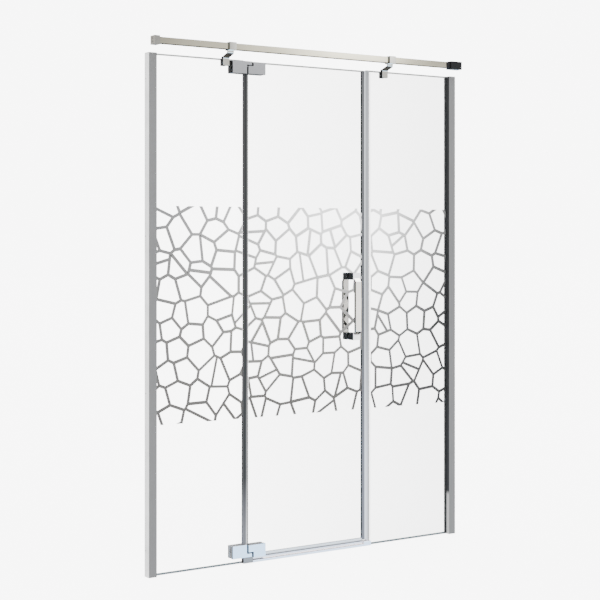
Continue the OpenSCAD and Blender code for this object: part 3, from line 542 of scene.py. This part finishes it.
for node, width in (
    ("left_profile", 0.4), ("right_profile", 0.4), ("left_profile_cap", 0.4), ("right_profile_cap", 0.4),
    ("support_bar", 5.0), ("bar_adjuster", 0.5), ("left_bar_socket", 0.9), ("right_bar_socket", 0.9),
    ("left_bracket", 0.7), ("right_bracket", 0.7), ("left_bracket_jaw", 0.7), ("right_bracket_jaw", 0.7),
    ("threshold", 0.4), ("left_threshold_block", 0.6), ("right_threshold_block", 0.6),
    ("top_hinge_fixed_outer", 0.6), ("top_hinge_fixed_inner", 0.6),
    ("bottom_hinge_fixed_outer", 0.6), ("bottom_hinge_fixed_inner", 0.6),
    ("top_hinge_moving_outer", 0.6), ("top_hinge_moving_inner", 0.6),
    ("bottom_hinge_moving_outer", 0.6), ("bottom_hinge_moving_inner", 0.6),
    ("outer_grip", 0.8), ("inner_grip", 0.8),
    ("upper_outer_post", 0.8), ("lower_outer_post", 0.8),
    ("upper_inner_post", 0.8), ("lower_inner_post", 0.8),
):
    piece = eased(node, width * MM)
    # Side coats below: all but the left profile's polished side are painted reflection, shade and light, put
    # on faces by the way they look.
    if node == "left_profile":
        side_coat(piece, side_finish, (1, 0, 0))
        side_coat(piece, pale_wall_side_painted_light, (-1, 0, 0))
    if node == "right_profile":
        side_coat(piece, right_profile_painted_reflection_finish, (-1, 0, 0), in_front)
    if node == "support_bar":
        for outward in ((0, -COS_45, COS_45), (0, -COS_45, -COS_45), (0, 0, -1)):
            side_coat(piece, bar_edge_painted_reflection, outward)
    if node in ("left_bracket", "right_bracket"):
        side_coat(piece, bracket_side_painted_reflection, (-1, 0, 0))
    if node.endswith("hinge_moving_outer"):
        side_coat(piece, gap_side_painted_shade_finish, (-1, 0, 0))
    if node.startswith("bottom_hinge_fixed"):
        side_coat(piece, low_hinge_side_painted_reflection, (-1, 0, 0))
    if node.endswith("_grip"):
        side_coat(piece, outer_grip_side_painted_reflection if node == "outer_grip" else inner_grip_side_painted_reflection, (-1, 0, 0))
    if node.endswith("_post"):
        side_coat(piece, post_side_painted_reflection, (-1, 0, 0))
    if node == "left_bar_socket":
        side_coat(piece, socket_wall_face_painted_reflection, (-1, 0, 0))


for node in ("left_glazing", "right_glazing"):
    strips = nodes[node].data
    strips.materials.append(clear_strip_finish)
    for face in strips.polygons:
        if face.center.y > 0:
            face.material_index = 1


# Line pattern


def cell_centres(spacing, seed):
    """Scattered centres in staggered rows, past the band on every side."""
    draw = random.Random(seed)
    centres = []
    row, z = 0, BAND_LOW - 1.5 * spacing
    while z < BAND_HIGH + 1.6 * spacing:
        x = -1.0 * spacing + (row % 2) * spacing / 2
        while x < NICHE_WIDTH + spacing:
            aside, up = draw.uniform(-SCATTER, SCATTER), draw.uniform(-SCATTER, SCATTER)
            centres.append((x + aside * spacing, z + up * spacing))
            x += spacing
        z += spacing * ROW_SHARE
        row += 1
    return centres


def add_cell(centre, centres, spacing, line_width, split):
    """The rim of one cell, or of its halves: a plane cut back half way to its neighbours, then opened."""
    bpy.ops.mesh.primitive_plane_add(size=CELL_REACH * spacing, location=(centre[0], GLASS_FRONT, centre[1]),
                                     rotation=(math.pi / 2, 0, 0))
    near = sorted((math.dist(centre, other), other) for other in centres if other != centre)
    for _, other in near[:NEIGHBOURS]:
        middle = ((centre[0] + other[0]) / 2, GLASS_FRONT, (centre[1] + other[1]) / 2)
        outward = Vector((other[0] - centre[0], 0.0, other[1] - centre[1])).normalized()
        bpy.ops.mesh.select_all(action="SELECT")
        bpy.ops.mesh.bisect(plane_co=middle, plane_no=outward, clear_outer=True)
    bpy.ops.mesh.select_all(action="SELECT")
    if split is not None and near[0][0] > SPLIT_ROOM * spacing:
        bpy.ops.mesh.bisect(plane_co=(centre[0], GLASS_FRONT, centre[1]),
                            plane_no=(math.cos(split), 0.0, math.sin(split)))
        bpy.ops.mesh.select_all(action="SELECT")
    bpy.ops.mesh.inset(thickness=line_width / 2, use_individual=True, use_boundary=True)
    bpy.ops.mesh.delete(type="FACE")


def line_web(name, spacing, seed, line_width):
    """The whole band's lines as one flat sheet, each cell with its own line width."""
    centres = cell_centres(spacing, seed)
    draw = random.Random(seed + 1)
    bpy.ops.object.select_all(action="DESELECT")
    bpy.ops.mesh.primitive_plane_add(size=0.01, location=(0, 0, -1))
    web = bpy.context.object
    web.name = name
    bpy.ops.object.mode_set(mode="EDIT")
    bpy.ops.mesh.select_mode(type="FACE")
    bpy.ops.mesh.select_all(action="SELECT")
    bpy.ops.mesh.delete(type="VERT")
    for centre in centres:
        width = line_width * draw.uniform(THINNEST, THICKEST)
        split = draw.uniform(0, math.pi) if draw.random() < SPLIT_CHANCE else None
        beside = SIDE_SHARE * spacing
        if not (-beside < centre[0] < NICHE_WIDTH + beside):
            continue
        if not (BAND_LOW - spacing < centre[1] < BAND_HIGH + spacing):
            continue
        add_cell(centre, centres, spacing, width, split)
        bpy.ops.mesh.select_all(action="SELECT")
        bpy.ops.mesh.hide()
    bpy.ops.mesh.reveal()
    bpy.ops.mesh.select_all(action="SELECT")
    bpy.ops.mesh.remove_doubles(threshold=LINE_WELD)
    bpy.ops.object.mode_set(mode="OBJECT")
    return web


def pane_lines(web, name, x_low, x_high, body):
    """The part of the web that one pane carries, as thin raised lines on its front."""
    piece = web.copy()
    piece.data = web.data.copy()
    piece.name = name
    bpy.context.scene.collection.objects.link(piece)
    only(piece)
    bpy.ops.object.transform_apply(location=True, rotation=True, scale=True)
    bpy.ops.object.mode_set(mode="EDIT")
    for place, outward in (
        ((x_low, 0, 0), (-1, 0, 0)), ((x_high, 0, 0), (1, 0, 0)),
        ((0, 0, BAND_LOW), (0, 0, -1)), ((0, 0, BAND_HIGH), (0, 0, 1)),
    ):
        bpy.ops.mesh.select_all(action="SELECT")
        bpy.ops.mesh.bisect(plane_co=place, plane_no=outward, clear_outer=True)
    bpy.ops.mesh.select_all(action="SELECT")
    bpy.ops.mesh.extrude_region_move(TRANSFORM_OT_translate={"value": (0, -LINE_RELIEF, 0)})
    bpy.ops.mesh.select_all(action="SELECT")
    bpy.ops.transform.translate(value=(0, -LINE_LIFT, 0))
    bpy.ops.mesh.normals_make_consistent(inside=False)
    bpy.ops.object.mode_set(mode="OBJECT")
    piece.data.materials.clear()
    piece.data.materials.append(print_painted_light_finish)
    piece.data.materials.append(print_back_painted_shade_finish)
    # The lines' back faces get the painted shade.
    for face in piece.data.polygons:
        face.material_index = 1 if face.center.y > GLASS_FRONT - 0.1 * MM else 0
    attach(piece, body)


web = line_web("line_web", CELL_SPACING, PATTERN_SEED, LINE_WIDTH)
for name, pane, left_piece, left_side, right_piece in (
    ("left_pane_lines", "left_glass", "left_glazing", 1, "hinge_gap_seal"),
    ("door_lines", "door_glass", "door_glass", 0, "door_magnet_seal"),
    ("right_pane_lines", "right_glass", "fixed_magnet_seal", 1, "right_glazing"),
):
    x_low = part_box(left_piece)[left_side].x + LINE_END_GAP
    x_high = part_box(right_piece)[0].x - LINE_END_GAP
    pane_lines(web, name, x_low, x_high, body_of(pane))
bpy.data.objects.remove(web, do_unlink=True)


# Studio


def studio_floor():
    """A plain pale floor that only the camera sees."""
    bpy.ops.object.select_all(action="DESELECT")
    bpy.ops.mesh.primitive_plane_add(size=FLOOR_SIZE, location=(0, 0, -FLOOR_DROP))
    floor = bpy.context.object
    floor.name = "studio_floor"
    finish, tree, shader = new_finish("studio_floor_white")
    shader.inputs["Base Color"].default_value = (0.85, 0.85, 0.85, 1.0)
    shader.inputs["Roughness"].default_value = 0.9
    shader.inputs["Specular IOR Level"].default_value = 0.0
    shader.inputs["Emission Color"].default_value = (1.0, 1.0, 1.0, 1.0)
    shader.inputs["Emission Strength"].default_value = BACKDROP_LIGHT - 0.8 * SOFT_LIGHT
    floor.data.materials.append(finish)
    floor.visible_diffuse = False
    floor.visible_glossy = False


def towards(tree, direction, heading, width):
    """1 where direction points within width of heading, 0 outside."""
    facing = tree.nodes.new("ShaderNodeVectorMath")
    facing.operation = "DOT_PRODUCT"
    facing.inputs[1].default_value = (math.sin(heading), math.cos(heading), 0.0)
    tree.links.new(direction, facing.inputs[0])
    return between(tree, facing.outputs["Value"], math.cos(width), math.cos(width * 0.8), 0.0, 1.0)


def heading_of(tree, x, y):
    """Degrees of heading, clockwise from +Y."""
    return math_of(tree, "MULTIPLY", math_of(tree, "ARCTAN2", x, y), 180 / math.pi)


def studio_room(tree, direction):
    """What polished metal sees: a bright room with a softbox, dark above and below, and dark flags."""
    split = tree.nodes.new("ShaderNodeSeparateXYZ")
    tree.links.new(direction, split.inputs["Vector"])
    x, y, z = (split.outputs[axis] for axis in "XYZ")
    height = between(tree, z, -1.0, 1.0, 0.0, 1.0)
    room = shade_by(tree, height, [
        (0.235, grey(0.15)), (0.27, (2.7, 3.5, 4.5)), (0.38, (2.8, 4.0, 5.4)), (0.43, (2.8, 4.0, 5.4)),
        (0.455, grey(2.7)), (0.51, grey(2.7)), (0.66, grey(2.0)), (0.78, grey(4.4)), (0.87, grey(4.4)),
        (0.90, grey(0.05))])
    over_front = mask(tree, between(tree, z, 0.55, 0.65, 0.0, 1.0), between(tree, y, -0.02, 0.06, 1.0, 0.0))
    room = blended(tree, over_front, room, grey(9.0))
    heading = between(tree, heading_of(tree, x, y), 135.0, 160.0, 0.0, 1.0)
    softbox = shade_by(tree, heading, [
        (0.20, grey(0.50)), (0.252, grey(0.77)), (0.288, grey(1.4)), (0.324, grey(2.9)), (0.344, grey(3.6)),
        (0.416, grey(3.6)), (0.436, grey(2.9)), (0.504, grey(1.7)), (0.576, grey(1.05)), (0.652, grey(0.77)),
        (0.708, grey(0.50))])
    line = math_of(tree, "MULTIPLY_ADD", heading, SOFTBOX_SLOPE, height)
    above = between(tree, line, SOFTBOX_EDGE_LOW, SOFTBOX_EDGE_HIGH, 0.0, 1.0)
    softbox = blended(tree, above, grey(1.05), softbox)
    facing_front = mask(tree, between(tree, height, 0.517, 0.527, 0.0, 1.0),
                        between(tree, height, 0.68, 0.72, 1.0, 0.0),
                        towards(tree, direction, math.pi - VIEW_TURN, math.radians(40)))
    room = blended(tree, facing_front, room, softbox)
    to_left = mask(tree, towards(tree, direction, -VIEW_TURN, math.radians(24)),
                   between(tree, z, 0.3, 0.45, 1.0, 0.0))
    left_flag = shade_by(tree, height, [(0.38, grey(0.6)), (0.405, grey(0.4)), (0.42, grey(0.015))])
    room = blended(tree, to_left, room, left_flag)
    behind = mask(tree, towards(tree, direction, VIEW_TURN, math.radians(15)),
                  between(tree, z, 0.3, 0.45, 1.0, 0.0))
    back_flag = shade_by(tree, height, [
        (0.3, grey(0.3)), (0.5, grey(0.12)), (0.55, grey(0.3)), (0.65, grey(0.5))])
    room = blended(tree, behind, room, back_flag)
    right_flag = mask(tree, towards(tree, direction, math.radians(54), math.radians(13)),
                      between(tree, z, 0.06, 0.09, 0.0, 1.0), between(tree, z, 0.3, 0.4, 1.0, 0.0))
    return blended(tree, right_flag, room, grey(0.1))


def studio_world():
    """White backdrop and plain soft light, with the studio room for mirrored rays."""
    world = bpy.data.worlds.new("studio")
    bpy.context.scene.world = world
    world.use_nodes = True
    tree = world.node_tree
    back = tree.nodes["Background"]
    ray = tree.nodes.new("ShaderNodeLightPath")
    place = tree.nodes.new("ShaderNodeTexCoord")
    room = studio_room(tree, place.outputs["Generated"])
    lit = blended(tree, ray.outputs["Is Glossy Ray"], grey(SOFT_LIGHT), room)
    seen = blended(tree, ray.outputs["Is Camera Ray"], lit, grey(BACKDROP_LIGHT))
    tree.links.new(seen, back.inputs["Color"])
    back.inputs["Strength"].default_value = 1.0


def photo_camera():
    """The photo's camera."""
    lens = bpy.data.cameras.new("photo_camera")
    camera = bpy.data.objects.new("photo_camera", lens)
    bpy.context.scene.collection.objects.link(camera)
    camera.location = CAMERA_PLACE
    camera.rotation_euler = (math.pi / 2, 0, -VIEW_TURN)
    lens.sensor_width = SENSOR_WIDTH
    lens.lens = SENSOR_WIDTH * PHOTO_FOCAL_PX / PHOTO_PX
    lens.shift_y = -(PHOTO_PX / 2 - HORIZON_PX) / PHOTO_PX
    lens.clip_end = FAR_CLIP
    bpy.context.scene.camera = camera


studio_floor()
studio_world()
photo_camera()
